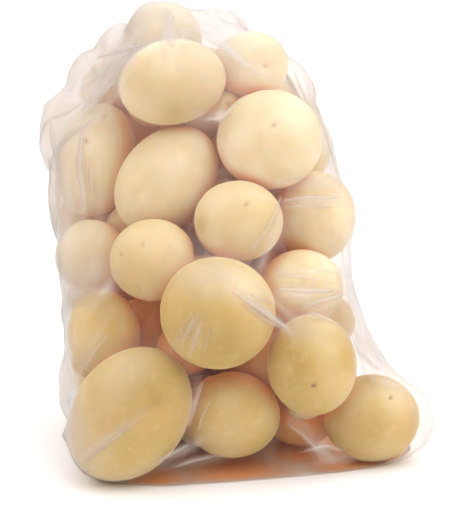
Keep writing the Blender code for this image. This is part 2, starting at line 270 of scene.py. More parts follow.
def settled(rows, shown_count):
    """Pushes overlapping potatoes apart and off the floor. The shown ones slide along the view."""
    centres, halves, turns = stacked(rows)
    shown = np.arange(len(centres)) < shown_count
    hidden = ~shown
    radius = halves.mean(axis=1)
    lowest = np.linalg.norm(turns[:, 2, :] * halves, axis=1) + FLOOR_CLEARANCE
    first, second = np.triu_indices(len(centres), 1)
    first_share = np.where(shown[first] == shown[second], 0.5, hidden[first])
    for number in range(SETTLE_ROUNDS):
        apart = centres[second] - centres[first]
        distance = np.linalg.norm(apart, axis=1)
        ways = apart / distance[:, None]
        needed = reach(halves[first], turns[first], ways) + reach(halves[second], turns[second], ways)
        overlap = PUSH * np.maximum(needed - distance, 0)
        move = np.zeros_like(centres)
        np.add.at(move, first, -ways * (overlap * first_share)[:, None])
        np.add.at(move, second, ways * (overlap * (1 - first_share))[:, None])
        move[shown] = (move[shown] @ INWARD)[:, None] * INWARD
        if number < FALL_ROUNDS:
            move[hidden] += FALL
        centres = centres + move
        left, right, front, back = room_at(centres[:, 2])
        kept = np.column_stack([
            np.clip(centres[:, 0], left + radius, right - radius),
            np.clip(centres[:, 1], front, back - radius),
            np.minimum(centres[:, 2], HIGHEST_SETTLED),
        ])
        centres[hidden] = kept[hidden]
        centres[:, 2] = np.maximum(centres[:, 2], lowest)
    return list(zip(centres, halves, turns))


def unit(ways):
    """Ways scaled to a length of 1."""
    return ways / np.linalg.norm(ways, axis=-1, keepdims=True)


def random_lumps(rng):
    """Where a potato's broad swells and hollows lie, how narrow each is and how high."""
    places = unit(rng.normal(size=(LUMPS, 3)))
    return places, rng.uniform(*LUMP_BREADTHS, LUMPS), rng.uniform(*LUMP_HEIGHTS, LUMPS)


def fullness(ways, lumps):
    """A potato's radius along unit ways of its ball, as a share of the plain ellipsoid's."""
    places, breadths, heights = lumps
    swell = np.exp(breadths * (ways @ places.T - 1)) @ heights
    return np.clip(1 + swell, FLATTEST, FULLEST)


def free_depth(points, bodies, forms):
    """How far each point is from the nearest of some potatoes."""
    nearest = np.full(len(points), math.inf)
    for centre, half, turn, lumps in zip(*bodies, forms):
        local = (points - centre) @ turn / half
        depth = np.linalg.norm(local, axis=1)
        outer = (depth - fullness(local / depth[:, None], lumps)) / depth
        nearest = np.minimum(nearest, outer * np.linalg.norm(local * half, axis=1))
    return nearest


def enclosed(points, normals, number):
    """How far other potatoes close in on each point of one of them: 0 in the open, 1 in a crevice."""
    centre = potato_rows[number][0]
    share = np.zeros(len(points))
    for other, (place, half, _) in enumerate(potato_rows):
        if other == number or np.linalg.norm(place - centre) > CREVICE_REACH:
            continue
        away = place - points
        distance = np.linalg.norm(away, axis=1)
        facing = np.einsum("ij,ij->i", normals, away) / distance
        facing = facing * (1 - CREVICE_WRAP) + CREVICE_WRAP
        share += np.clip(facing, 0, 1) * (half.mean() / distance) ** 2
    return np.clip((share - OPEN_SHARE) / (CREVICE_SHARE - OPEN_SHARE), 0, 1)


def make_ball(cuts):
    """A ball of even quads: a cut-up cube, its points pushed out to the unit sphere."""
    ball = bmesh.new()
    bmesh.ops.create_cube(ball, size=2)
    bmesh.ops.subdivide_edges(ball, edges=ball.edges[:], cuts=cuts, use_grid_fill=True)
    for vertex in ball.verts:
        spread = Vector(math.tan(side * math.pi / 4) for side in vertex.co)
        vertex.co = spread.normalized()
    mesh = bpy.data.meshes.new("ball")
    ball.to_mesh(mesh)
    ball.free()
    mesh.shade_smooth()
    return mesh


class Shade:
    """A socket in a material's node tree. Sums and products of such sockets add its Math nodes."""

    def __init__(self, tree, socket=None):
        self.tree = tree
        self.socket = socket

    def node(self, kind, settings=(), inputs=(), output=0):
        """A new node of a type, its settings made first, then its sockets' values or links."""
        made = self.tree.nodes.new("ShaderNode" + kind)
        for name, value in dict(settings).items():
            setattr(made, name, value)
        for name, value in dict(inputs).items():
            if isinstance(value, Shade):
                self.tree.links.new(value.socket, made.inputs[name])
            else:
                made.inputs[name].default_value = value
        return Shade(self.tree, made.outputs[output] if made.outputs else None)

    def math(self, operation, *values):
        """A Math node on sockets and numbers."""
        return self.node("Math", {"operation": operation}, enumerate(values))

    def __add__(self, other):
        return self.math("ADD", self, other)

    def __sub__(self, other):
        return self.math("SUBTRACT", self, other)

    def __rsub__(self, other):
        return self.math("SUBTRACT", other, self)

    def __mul__(self, other):
        return self.math("MULTIPLY", self, other)

    def __pow__(self, other):
        return self.math("POWER", self, other)

    __radd__ = __add__
    __rmul__ = __mul__

    def within(self, low, high):
        """0 up to low, 1 from high on, and a smooth rise between them."""
        settings = {"interpolation_type": "SMOOTHSTEP"}
        return self.node("MapRange", settings, {"Value": self, "From Min": low, "From Max": high})

    def mixed(self, share, first, second):
        """Two colours mixed by a share of the second."""
        return self.node("Mix", {"data_type": "RGBA"}, {0: share, 6: first, 7: second}, 2)


def new_material(name):
    """An empty material, and the tree that its nodes go in."""
    made = bpy.data.materials.new(name)
    made.use_nodes = True
    made.node_tree.nodes.clear()
    return made, Shade(made.node_tree)


def potato_skin():
    """Pale skin: soft blotches of cream and yellow, faint pores, brown eyes, a waxy sheen, with painted
    shade: deeper yellow lower down and inside, and a reddish tint in the crevices.
    """
    made, tree = new_material("potato skin")
    place = tree.node("TexCoord", output=3)
    tone_and_shade, crevice_shade, eye = (
        tree.node("Attribute", {"attribute_name": name}, output=2) for name in ("tone_and_shade", "crevice_shade", "eye")
    )
    broad, blotch, mottle, fine = (
        tree.node("TexNoise", {}, {"Vector": place, "Scale": scale, "Detail": detail})
        for scale, detail in ((24.0, 1.0), (55.0, 2.0), (190.0, 3.0), (900.0, 2.0))
    )
    pore = tree.node("TexVoronoi", {}, {"Vector": place, "Scale": 330.0})
    # riper tone, partly painted shade lower down and inside
    ripe_and_shade = tone_and_shade + broad.within(0.35, 0.68) * 0.5 - 0.25
    skin = PALE
    for share, colour in (
        (ripe_and_shade, YELLOW),
        (ripe_and_shade - 1, RIPEST_AND_SHADED),
        (blotch.within(0.45, 0.66) * 0.28, BLOTCH),
        (mottle.within(0.5, 0.72) * 0.16, MOTTLE),
        # painted shade: ruddy in the crevices, where the potatoes shade each other
        (crevice_shade * 0.85, CREVICE_SHADE_TINT),
        ((1 - pore.within(0.06, 0.22)) * 0.16, PORE),
        (eye.within(0.05, 0.8) * 0.5, EYE_RIM),
        (eye.within(0.4, 0.95) * 0.75, EYE_PIT),
    ):
        skin = tree.mixed(share, skin, colour)
    relief = tree.node("Bump", {}, {"Strength": 0.25, "Distance": 0.0004, "Height": fine * 0.5 + mottle})
    shader = tree.node("BsdfPrincipled", {}, {
        "Base Color": skin,
        "Roughness": 0.44 + mottle * 0.16,
        "Normal": relief,
        "Subsurface Weight": 0.8,
        "Subsurface Radius": (1.0, 0.36, 0.13),
        "Subsurface Scale": 0.016,
        "Specular IOR Level": 0.35,
        "Sheen Weight": 0.3,
        "Sheen Roughness": 0.35,
        "Sheen Tint": (1.0, 0.87, 0.72, 1),
    })
    tree.node("OutputMaterial", {}, {"Surface": shader})
    return made


def add_piece(name, mesh, finish):
    """An object of the scene that takes the place of the solid bag."""
    piece = add_object(name, mesh)
    mesh.materials.append(finish)
    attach(piece, "root")
    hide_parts("bag")


def met_in_front(right, up):
    """The potato that the camera sees at a point of the view, and the way there from its middle."""
    nearest = (math.inf, None, None)
    way = view_way(right, up)
    for number, (centre, half, turn) in enumerate(potato_rows):
        start = (EYE - centre) @ turn / half
        along = way @ turn / half
        a, b, c = along @ along, start @ along, start @ start - 1
        if b * b > a * c:
            depth = (-b - math.sqrt(b * b - a * c)) / a
            nearest = min(nearest, (depth, number, start + depth * along), key=lambda met: met[0])
    return nearest[1:]


def add_potato(name, ball, number, eyes, spots, tone_and_shade, skin):
    """One potato at its place, its eyes sunk in its skin, with its spots of riper tone, painted shade and
    painted light.
    """
    centre, half, turn = potato_rows[number]
    lumps = potato_lumps[number]
    ways = np.empty(len(ball.vertices) * 3)
    ball.vertices.foreach_get("co", ways)
    ways = ways.reshape(-1, 3)
    local = ways * half * fullness(ways, lumps)[:, None]
    mark = np.zeros(len(ways))
    for way, strength in eyes:
        way = unit(np.array(way))
        spot = way * half * fullness(way[None], lumps)
        along = unit(np.cross(way, EYE_WAY))
        distance = np.sqrt(((local - spot) ** 2).sum(axis=1) + EYE_NARROWING * ((local - spot) @ along) ** 2)
        mark = np.maximum(mark, min(strength, 1) * np.exp(-(distance / EYE_RADIUS) ** 2))
        dent = np.exp(-(distance / DENT_RADIUS) ** 2) * strength
        local = local - unit(local) * (EYE_DEPTH * dent)[:, None]
    # Riper tone, partly painted shade, and the spots' painted shade and light.
    ripe_and_shade = np.full(len(ways), tone_and_shade)
    for way, radius, strength in spots:
        ripe_and_shade += strength * np.exp(-((local - way * half) ** 2).sum(axis=1) / radius ** 2)
    points = centre + local @ turn.T
    # Painted shade: the skin is tinted ruddy where other potatoes close in on it.
    crevice_shade = np.clip(enclosed(points, unit(ways / half) @ turn.T, number) + CREVICE_SHADE_SHIFTS.get(name, 0), 0, 1)
    mesh = ball.copy()
    mesh.name = name
    mesh.vertices.foreach_set("co", points.ravel())
    for layer, values in ("eye", mark), ("tone_and_shade", ripe_and_shade), ("crevice_shade", crevice_shade):
        mesh.attributes.new(layer, "FLOAT", "POINT").data.foreach_set("value", values)
    add_piece(name, mesh, skin)


potato_names = list(SHOWN)
potato_names += [f"hidden_{number + 1:02d}" for number in range(HIDDEN_COUNT)]
potato_names += [f"tucked_in_{number + 1}" for number in range(len(TUCKED_IN))]
potato_rows = [seen(*row) for *row, _ in SHOWN.values()]
potato_rows = settled(with_hidden(potato_rows, np.random.default_rng(HIDDEN_SEED)), len(potato_rows))
film_rows = list(potato_rows)
for name, (share, *shift) in SMALLER.items():
    centre, half, turn = potato_rows[potato_names.index(name)]
    potato_rows[potato_names.index(name)] = (centre + np.array(shift) * MM, half * share, turn)
tucked_in_rng = np.random.default_rng(TUCKED_IN_SEED)
for x, y, z, radius in TUCKED_IN:
    middle = np.array([x, y, z]) * MM
    potato_rows.append((middle, radius * MM * TUCKED_IN_HALF, random_turn(tucked_in_rng)))
    film_rows.append(potato_rows[-1])
potato_rng = np.random.default_rng(POTATO_SEED)
potato_lumps = [random_lumps(potato_rng) for _ in potato_rows]
front_eyes = [(*met_in_front(right, up), strength) for right, up, strength in SHOWN_EYES]
front_spots = [(*met_in_front(right, up), radius * MM, share) for right, up, radius, share in RIPE_AND_SHADED_SPOTS]

ball, small_ball = make_ball(POTATO_CUTS), make_ball(TUCKED_IN_CUTS)
skin = potato_skin()
for number, (name, (_, _, turn)) in enumerate(zip(potato_names, potato_rows)):
    eyes = [eye for owner, *eye in front_eyes if owner == number]
    spots = [spot for owner, *spot in front_spots if owner == number]
    for _ in range(potato_rng.integers(*EYES_EACH)):
        way = unit(potato_rng.normal(size=3))
        strength = potato_rng.uniform(*EYE_STRENGTHS)
        if number >= len(SHOWN) or (turn @ way) @ INWARD > FRONT_LIMIT:
            eyes.append((way, strength))
    tone_and_shade = potato_rng.uniform(*HIDDEN_TONE_AND_SHADE)
    if name in SHOWN:
        tone_and_shade = SHOWN[name][-1]
    form = small_ball if name.startswith("tucked_in") else ball
    add_potato(name, form, number, eyes, spots, tone_and_shade, skin)
bpy.data.meshes.remove(ball)
bpy.data.meshes.remove(small_ball)

# ---- The film --------------------------------------------------------------------------------
# Clear soft plastic film, blown as a tube: sealed flat under the base, drawn tight over the
# potatoes, gathered in pleats to a neck behind the top, its loose end hanging down behind.
FILM_CLEARANCE = 1.0 * MM  # from the potatoes

# Where trapped air holds the film off the potatoes, measured as they are.
AIR = {
    "shoulder": (-99, 70, 28, 30, 52, 0),
    "shoulder_right": (33, 99, 8, 34, 22, -55),
    "crest": (-12, 127, 24, 38, 32, 0),
    "crest_left": (-68, 119, 30, 32, 26, 40),
    "flank": (-96, 32, 20, 60, 24, 93),
    "hip": (-91, -75, -12, 52, 22, 90),
    "armpit": (44, 64, 4, 36, 26, -72),
    "toe": (84, -95, -9, 60, 50, 0),
}
BASE_MIDDLE = np.array([3, -15, 0]) * MM
BASE_HALF_WIDTH = 103 * MM
BASE_HALF_DEPTH = 69 * MM
BASE_SQUARENESS = 3.4  # 2 is an ellipse
BASE_RINGS = 24
BASE_SEAL = 0.02  # the innermost ring's share of the base's size
BASE_FLATNESS = 0.1 * MM  # the base stays flat up to its sharp edge
BASE_WAVES = [(5, 0.006), (8, 0.007), (13, 0.005), (21, 0.003)]  # how many, and how deep

# The slack film round everything, before it is drawn in.
SLACK_MIDDLE = np.array([2, -8, 120]) * MM
SLACK_HALF = np.array([135, 125, 160]) * MM
SLACK_LOWEST, SLACK_HIGHEST = math.radians(60), math.radians(172)
SLACK_LEAN = math.radians(45)  # of its top, towards the neck

COLUMNS = 64
WALL_RINGS = 58
DRAW_ROUNDS = 1400
HOOP_TENSION = 1.0
RISE_TENSION = 2.0
SUCTION = 0.02 * MM  # how far each round draws the film in besides
FINER = 4  # columns and rings of the finished film for each of these
FINE_ROUNDS = 120
FINE_CLEARANCE = 0.5 * MM
NEAR_ROUNDS = 25  # between looks at which points are near which potato
NEAR_MARGIN = 12 * MM

# Where the film hangs free between the potatoes it is crinkled.
CLING_DEPTH = 1.5 * MM
FREE_DEPTH = 6 * MM
CRINKLE_HEIGHT = 1.1 * MM
CRINKLE_WIDTH = 11 * MM
CRINKLE_LENGTH = 48 * MM
CRINKLE_MILK = 0.16  # on the crinkles' ridges
CRINKLE_NOISE = (1.0, 2.1, 3, 1.0, 2.0)  # roughness, lacunarity, octaves, offset and gain
LEVEL_RINGS = 8  # over the base, before the crinkles have their full height
GATHER_REACH = 190 * MM  # from the neck, for the haze of film drawn together
GATHER_MILK = 0.34
GATHER_FADE = 1.5  # the higher, the closer to the neck it stays
HIGHEST_MILK = 0.75
BASE_SHADE_HEIGHT = 3 * MM  # of the painted brown shadow in the base, where the potatoes shade it
BASE_SHADE_REACH = 32 * MM  # from the potatoes that cast it
BASE_SHADE_PLENTY = 1.4  # the more over 1, the wider it lies thick
BASE_SHADE_FROM_FRONT = ((-50 * MM, 40 * MM), (1, 0.35))  # it thins out towards the back
BASE_SHADE_RIM = 0.08  # of the way in from the base's edge, over which it thins out

ACROSS = np.array([1.0, 0.0, 0.0])
NECK = np.array([-26, 69, 219]) * MM
NECK_RISE = math.radians(45)
NECK_FORWARD = np.array([0, math.cos(NECK_RISE), math.sin(NECK_RISE)])
NECK_UPRIGHT = np.array([0, -math.sin(NECK_RISE), math.cos(NECK_RISE)])
NECK_RADIUS = 8 * MM
NECK_LENGTH = 8 * MM
NECK_STEPS = 6
PLEATS = 12
NECK_FLUTE = 0.5 * MM  # depth of the pleats in the neck
PLEAT_DEPTH = 1.6 * MM  # and of the gathers that run to it
PLEAT_REACH = 45 * MM
CLEAR_GAP = 0.3 * MM  # that is left to the potatoes under the gathers

# The film's loose end, in mm: back and up from the neck, half its width, half its thickness, ripple.
TAIL = [
    (7.5, 7.0, 10, 6.2, 0.6), (13, 9.5, 14, 4.8, 1.4), (18.5, 8.0, 20, 4.0, 2.4),
    (22.5, 1.5, 27, 3.6, 3.2), (23.5, -9, 33, 3.2, 3.8), (22.5, -21, 38, 3.0, 4.4),
    (20.5, -34, 41, 2.8, 4.8), (19, -47, 43, 2.5, 4.8), (18.5, -60, 44, 2.2, 5.2),
]
TAIL_WAVES = 3.5
TAIL_STEPS = 40

# Pinched folds that show in front: each one's way, in mm right of and up from the view's middle, then
# its width and height in mm and how far it leans, in heights.
FRONT_CREASES = [
    ([(-86, 99), (-72, 111), (-57, 122)], 7.0, 1.0, 0.6),
    ([(-90, 85), (-78, 95), (-66, 104)], 7.8, 1.0, -0.5),
    ([(-81, 115), (-63, 120), (-50, 123)], 4.7, 0.8, 0.5),
    ([(-89, 74), (-91, 53), (-87, 24)], 5.4, 0.8, 0.6),
    ([(-84, 62), (-84, 45), (-83, 30)], 3.9, 0.6, -0.6),
    ([(-39, 143), (-38, 131), (-37, 120)], 8.0, 0.5, 0.5),
    ([(-18, 126), (-5, 120), (15, 103)], 5.0, 0.8, -0.6),
    ([(27, 32), (43, 34), (62, 34)], 3.7, 0.8, -0.6),
    ([(28, 28), (42, 29), (57, 28)], 3.1, 0.5, 0.4),
    ([(26, 35), (24, 26), (17, 13), (7, 1)], 4.7, 0.9, 0.8),
    ([(20, -11), (37, -12), (59, -16)], 4.0, 0.8, -0.7),
    ([(23, -19), (40, -20), (58, -20)], 4.7, 0.9, 0.6),
    ([(37, -31), (50, -26), (64, -22)], 3.7, 0.8, 0.5),
    ([(42, -33), (52, -36), (63, -41)], 3.7, 0.8, -0.5),
    ([(37, -26), (44, -28), (52, -30)], 3.1, 0.7, 0.5),
    ([(-2, -21), (9, -28), (20, -35), (31, -43)], 5.0, 1.0, 0.8),
    ([(2, -27), (15, -36), (26, -42)], 3.7, 0.8, -0.6),
    ([(8, -22), (15, -25), (21, -28)], 3.1, 0.7, 0.5),
    ([(-32, -56), (-27, -43), (-21, -32)], 3.4, 0.7, 0.6),
    ([(-27, -59), (-23, -45), (-19, -34)], 3.4, 0.7, -0.6),
    ([(-20, -60), (-17, -49), (-14, -38)], 3.4, 0.6, 0.6),
    ([(-37, -51), (-30, -39), (-24, -30)], 3.1, 0.6, 0.6),
    ([(-92, -126), (-77, -114), (-61, -101), (-42, -86)], 4.7, 1.0, 0.8),
    ([(-88, -120), (-73, -108), (-56, -94)], 3.1, 0.6, -0.5),
    ([(-88, -65), (-81, -54), (-73, -45)], 3.7, 0.7, 0.5),
    ([(-28, -100), (-24, -86), (-19, -72)], 4.0, 0.8, 0.7),
    ([(-23, -104), (-19, -92), (-13, -81)], 3.4, 0.7, -0.5),
    ([(-46, -120), (-37, -114), (-27, -109)], 4.3, 0.8, 0.5),
    ([(-37, -123), (-24, -118), (-8, -115)], 4.0, 0.8, 0.5),
    ([(29, -96), (39, -104), (50, -115)], 4.0, 0.8, 0.6),
    ([(37, -114), (52, -110), (66, -114)], 4.7, 1.0, -0.6),
    ([(66, -43), (71, -56), (84, -67)], 5.0, 0.8, 0.5),
    ([(-103, 3), (-101, -25), (-102, -54)], 4.7, 0.8, 0.5),
    ([(-108, 79), (-103, 50), (-104, 18)], 6.2, 1.0, 0.5),
    ([(48, 79), (57, 56), (61, 38)], 4.7, 0.8, -0.5),
    ([(-18, 79), (-8, 80), (2, 90)], 4.0, 0.8, 0.5),
]
CREASE_STEPS = 16  # between two given points
LONGEST_STEP = 7 * MM  # along a crease, before it ends
SHORTEST_CREASE = 5  # points
CREASE_SMOOTHINGS = 3
CREASE_COLUMNS = 9
CREASE_CREST = 0.42  # of half the width
CREASE_SINK = 0.06  # of the height, at the edges
CREASE_TIP = 0.02  # the share of a half wave that is left off at each end
CREASE_FULLNESS = 0.6  # the lower, the blunter the ends
CREASE_HIGHLIGHT = 0.4  # painted highlight on the crest of a crease 1 mm high

# Where doubled or drawn film looks milky in front, and painted highlights where its folds catch the light:
# right of and up from the view's middle, length and width in mm, slant in degrees, and how milky.
FRONT_MILK_AND_HIGHLIGHTS = [
    (-101, -43, 150, 16, 91, 0.45), (-106, 45, 84, 15, 92, 0.35), (-86, 98, 84, 22, 54, 0.45),
    (-101, 84, 40, 16, 60, 0.35), (-92, 104, 56, 16, 55, 0.4), (-75, 118, 40, 14, 45, 0.3),
    (-89, 87, 60, 6, 45, 0.4), (-78, 84, 44, 5, 48, 0.25), (-64, 128, 44, 16, 52, 0.4),
    (-90, 46, 64, 6, 91, 0.3), (-97, 38, 56, 8, 90, 0.3), (-79, 36, 40, 5, 88, 0.15),
    (-85, -11, 28, 22, 20, 0.35), (-88, 6, 50, 40, 90, 0.14), (-76, -20, 26, 6, 55, 0.3),
    (-95, -22, 30, 8, -40, 0.3), (-82, -20, 30, 5, 5, 0.25), (-84, -52, 44, 7, 62, 0.2),
    (-42, 143, 52, 14, 0, 0.25), (-41, 130, 30, 5, 90, 0.25), (-30, 128, 30, 4, 84, 0.2),
    (-8, 138, 34, 10, -24, 0.3), (-11, 128, 28, 14, -20, 0.35), (8, 114, 56, 36, -10, 0.10),
    (-5, 120, 44, 5, -38, 0.35), (-18, 104, 22, 44, 0, 0.08), (-19, 80, 22, 10, 0, 0.2),
    (-9, 82, 8, 5, 60, 0.5), (57, 62, 60, 14, -72, 0.3), (68, -24, 66, 13, -71, 0.4),
    (45, 42, 40, 11, 0, 0.3), (50, 32, 34, 5, 0, 0.35), (28, 14, 18, 8, 60, 0.15),
    (41, -22, 38, 7, 0, 0.4), (46, -9, 30, 4, -3, 0.3), (50, -30, 30, 5, 22, 0.2),
    (20, 8, 40, 5, 68, 0.35), (16, -31, 46, 5, -40, 0.45), (24, -28, 34, 4, -42, 0.35),
    (42, -34, 28, 8, 0, 0.15), (83, -60, 50, 16, -44, 0.35), (90, -74, 34, 5, -18, 0.3),
    (-14, -10, 44, 26, 10, 0.3), (40, -42, 34, 14, 0, 0.2), (-60, -62, 40, 20, 30, 0.15),
    (68, 0, 60, 12, 88, 0.3), (109, -98, 46, 12, 100, 0.35), (-93, -108, 70, 22, 102, 0.3),
    (-76, -107, 50, 5, 37, 0.35), (-29, -44, 30, 3, 56, 0.25), (-22, -46, 30, 3, 66, 0.25),
    (-76, -86, 64, 36, 52, 0.13), (-33, -114, 42, 5, 27, 0.3), (-22, -119, 36, 4, 10, 0.2),
    (50, -113, 16, 9, -40, 0.5), (58, -118, 24, 5, 10, 0.3), (-25, -86, 34, 5, 78, 0.2),
    (40, -100, 24, 5, -50, 0.2),
]

# The same on the sides and back, placed at random.
SIDE_MILK = 60
SIDE_MILK_LENGTHS = (35, 95)
SIDE_MILK_WIDTHS = (4, 13)
SIDE_MILK_SLANTS = (70, 115)
SIDE_MILK_STRENGTHS = (0.12, 0.4)
GIRTH_RADIUS = 85 * MM
FRONT_SHARPNESS = 4  # of the border with the front's streaks

# Creases on the sides and back, placed at random too. The streaks lie between the same limits.
SIDE_CREASES = 34
SIDE_AZIMUTHS = (math.radians(78), math.radians(262))
SIDE_HEIGHTS = (20 * MM, 210 * MM)
CREASE_TURNS = (-0.14, 0.14)  # to each side, in radians
CREASE_RISES = (12 * MM, 34 * MM)  # up and down
CREASE_BEND = 0.6  # the upper end's share of the lower one's turn
CREASE_WIDTHS = (4.0 * MM, 8.5 * MM)
CREASE_HEIGHTS = (0.5 * MM, 0.9 * MM)
CREASE_LEANS = (-0.8, 0.8)
CREASE_SEED = 4

CLEAR_TINT = (0.96, 0.95, 0.945, 1)
MILK_FACE = (0.755, 0.71, 0.67, 1)
MILK_EDGE_SHADE = (0.42, 0.47, 0.54, 1)  # painted shade: the haze is darker and bluer where the film slants away
MILK_THROUGH = (0.75, 0.695, 0.65, 1)  # lit from behind
# the warm brown of the painted shadow in the base
BASE_SHADE_TINT = (0.92, 0.40, 0.15, 1)
SHINE = (0.92, 0.97, 1, 1)


def base_outline(angles):
    """The flat base's edge, a squared ellipse."""
    cos, sin = np.cos(angles), np.sin(angles)
    power = 2 / BASE_SQUARENESS
    waves = 1 - sum(depth * (1 - np.cos(count * angles + count)) for count, depth in BASE_WAVES)
    edge = waves[:, None] * np.column_stack([
        BASE_HALF_WIDTH * np.sign(cos) * np.abs(cos) ** power,
        BASE_HALF_DEPTH * np.sign(sin) * np.abs(sin) ** power,
        np.zeros_like(angles),
    ])
    return BASE_MIDDLE + edge


def neck_outline(angles, along):
    """The gathered neck at a distance along it: a small fluted ring that faces back and up."""
    radius = (NECK_RADIUS + NECK_FLUTE * np.cos(PLEATS * angles))[:, None]
    ring = np.cos(angles)[:, None] * ACROSS - np.sin(angles)[:, None] * NECK_UPRIGHT
    return NECK + along * NECK_FORWARD + radius * ring


def smoothed(rows, count):
    """Rows read off a smooth curve through the given ones."""
    rows = np.array(rows, float)
    padded = np.vstack([2 * rows[0] - rows[1], rows, 2 * rows[-1] - rows[-2]])
    found = []
    for place in np.linspace(0, len(rows) - 1, count):
        start = min(int(place), len(rows) - 2)
        share = place - start
        a, b, c, d = padded[start:start + 4]
        bend = (-a + 3 * b - 3 * c + d) * share ** 3 + (2 * a - 5 * b + 4 * c - d) * share ** 2
        found.append((bend + (c - a) * share + 2 * b) / 2)
    return np.array(found)


def tail_outlines(angles):
    """Thin rippled sections beyond the tie, along a way that falls down behind the bag."""
    rows = smoothed(TAIL, TAIL_STEPS)
    way = np.column_stack([np.zeros(len(rows)), rows[:, 0], rows[:, 1]]) * MM
    forward = unit(np.gradient(np.vstack([np.zeros(3), way]), axis=0)[1:])
    outlines = []
    for place, (_, forward_y, forward_z), row in zip(way, forward, rows):
        half_width, half_thickness, ripple = (size * MM for size in row[2:])
        wave = ripple * np.sin(TAIL_WAVES * math.pi * np.cos(angles))
        lift = (wave - half_thickness * np.sin(angles))[:, None]
        upright = np.array([0, -forward_z, forward_y])
        outlines.append(NECK + place + half_width * np.cos(angles)[:, None] * ACROSS + lift * upright)
    return outlines


def slack_wall(angles):
    """A roomy film, ring by ring from the base's edge up and over to the neck."""
    rings = []
    for share in np.linspace(0, 1, WALL_RINGS + 1):
        polar = SLACK_LOWEST + (SLACK_HIGHEST - SLACK_LOWEST) * share
        lean = SLACK_LEAN * share
        x = math.sin(polar) * np.cos(angles)
        y = math.sin(polar) * np.sin(angles)
        z = np.full_like(angles, -math.cos(polar))
        leaning = [x, y * math.cos(lean) + z * math.sin(lean), z * math.cos(lean) - y * math.sin(lean)]
        rings.append(SLACK_MIDDLE + SLACK_HALF * np.column_stack(leaning))
    rings[0] = base_outline(angles)
    rings[-1] = neck_outline(angles, -NECK_LENGTH / 2)
    return np.array(rings)


def drawn_in(wall, bodies, forms, clearance, rounds, suction):
    """Draws the film tight: points move to their neighbours' mean, then out of what they entered."""
    centres, halves, turns = bodies
    halves = halves + clearance
    for number in range(rounds):
        before = np.roll(wall, 1, axis=1)[1:-1]
        after = np.roll(wall, -1, axis=1)[1:-1]
        pull = HOOP_TENSION * (before + after) + RISE_TENSION * (wall[:-2] + wall[2:])
        inward = np.cross(wall[2:] - wall[:-2], after - before)
        inward /= np.linalg.norm(inward, axis=2)[..., None]
        points = (pull / (2 * (HOOP_TENSION + RISE_TENSION)) + suction * inward).reshape(-1, 3)
        if number % NEAR_ROUNDS == 0:
            near = [
                np.flatnonzero(np.abs(points - centre).max(axis=1) < half.max() + NEAR_MARGIN)
                for centre, half in zip(centres, halves)
            ]
        for centre, half, turn, lumps, touched in zip(centres, halves, turns, forms, near):
            local = (points[touched] - centre) @ turn / half
            depth = np.linalg.norm(local, axis=1)
            if lumps is not None:
                depth = depth / fullness(local / depth[:, None], lumps)
            inside = depth < 1
            surface = local[inside] / depth[inside, None] * half
            points[touched[inside]] = centre + surface @ turn.T
        points[:, 2] = np.maximum(points[:, 2], 0)
        wall[1:-1] = points.reshape(wall[1:-1].shape)
    return wall


def finer(wall):
    """The same wall with more columns and rings, evenly between the old ones."""
    shares = np.arange(FINER)[:, None, None] / FINER
    after = np.roll(wall, -1, axis=1)
    wide = [wall + (after - wall) * share for share in shares[:, 0, 0]]
    wide = np.stack(wide, axis=2).reshape(wall.shape[0], -1, 3)
    tall = [wide[:-1] + (wide[1:] - wide[:-1]) * share for share in shares[:, 0, 0]]
    tall = np.stack(tall, axis=1).reshape(-1, wide.shape[1], 3)
    return np.concatenate([tall, wide[-1:]])


def outward_of(wall):
    """The way out of the bag at each of the film's points."""
    along = np.gradient(wall, axis=0)
    around = np.roll(wall, -1, axis=1) - np.roll(wall, 1, axis=1)
    return unit(np.cross(around, along))


def pleated(wall, angles, free):
    """Presses into the film the gathers that run to the neck and fade out away from it."""
    distance = np.linalg.norm(wall - NECK, axis=2) - NECK_RADIUS
    strength = PLEAT_DEPTH * np.sin(np.clip(distance / PLEAT_REACH, 0, 1) * math.pi)
    press = np.maximum(strength * np.cos(PLEATS * angles), -np.maximum(free - CLEAR_GAP, 0))
    press[[0, -1]] = 0
    return wall + outward_of(wall) * press[..., None]


def unevenness(points, across, along):
    """Crinkles of film that hangs free: ridged noise, longer up the bag than round it."""
    found = np.empty(points.shape[:2])
    for ring, row in enumerate(points):
        for column, (x, y, z) in enumerate(row):
            place = Vector((x / across, y / across, z / along))
            found[ring, column] = noise.ridged_multi_fractal(place, *CRINKLE_NOISE) - 1
    return found


def crease_route(rays, tree):
    """Points and outward ways where rays meet the film, up to where it drops away."""
    route = []
    for (start, way), (next_start, next_way) in zip(rays, rays[1:]):
        for share in np.arange(CREASE_STEPS) / CREASE_STEPS:
            origin = start + (next_start - start) * share
            ray = Vector(way + (next_way - way) * share).normalized()
            place, normal, *_ = tree.ray_cast(Vector(origin), ray)
            if place is None or (route and (place - route[-1][0]).length > LONGEST_STEP):
                return route
            route.append((place, normal))
    return route


